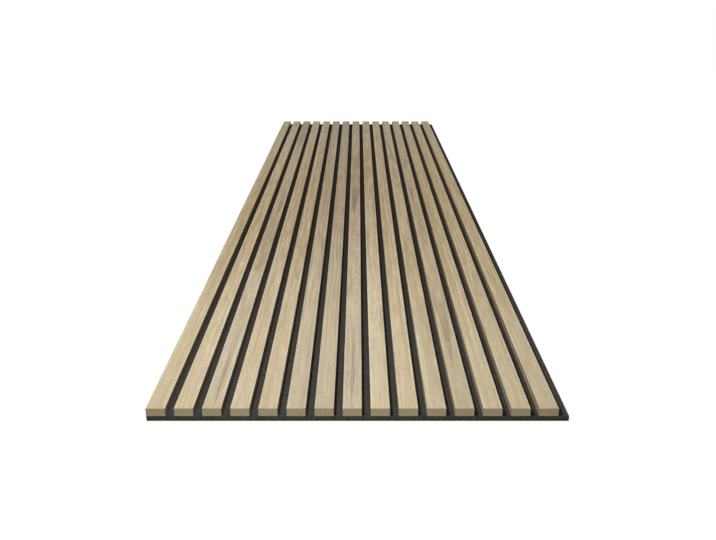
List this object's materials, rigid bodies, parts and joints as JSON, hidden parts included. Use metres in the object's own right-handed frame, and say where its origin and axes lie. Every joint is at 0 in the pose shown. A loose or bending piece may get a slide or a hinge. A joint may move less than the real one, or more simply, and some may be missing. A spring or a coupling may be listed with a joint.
{
  "type": "acoustic slat wall panel",
  "caption": "Flat wall panel of parallel oak-veneered slats on a dark felt board that absorbs sound, with a bare felt tongue along one long edge for joining panels.",
  "frame": {"origin": "middle of the felt's flat back face", "axes": "+X across the slats towards the bare felt tongue, +Y along the slats, +Z from the felt's back face towards the slats' faces"},
  "size_m": [0.6, 2.4, 0.02],
  "materials": {
    "oak_veneer": "matte",
    "fibreboard": "matte",
    "felt": "matte"
  },
  "bodies": {
    "root": {"felt_backing": "felt", "slat_core_01": "fibreboard", "slat_core_02": "fibreboard", "slat_core_03": "fibreboard", "slat_core_04": "fibreboard", "slat_core_05": "fibreboard", "slat_core_06": "fibreboard", "slat_core_07": "fibreboard", "slat_core_08": "fibreboard", "slat_core_09": "fibreboard", "slat_core_10": "fibreboard", "slat_core_11": "fibreboard", "slat_core_12": "fibreboard", "slat_core_13": "fibreboard", "slat_core_14": "fibreboard", "slat_core_15": "fibreboard", "slat_veneer_01": "oak_veneer", "slat_veneer_02": "oak_veneer", "slat_veneer_03": "oak_veneer", "slat_veneer_04": "oak_veneer", "slat_veneer_05": "oak_veneer", "slat_veneer_06": "oak_veneer", "slat_veneer_07": "oak_veneer", "slat_veneer_08": "oak_veneer", "slat_veneer_09": "oak_veneer", "slat_veneer_10": "oak_veneer", "slat_veneer_11": "oak_veneer", "slat_veneer_12": "oak_veneer", "slat_veneer_13": "oak_veneer", "slat_veneer_14": "oak_veneer", "slat_veneer_15": "oak_veneer"}
  },
  "joints": []
}
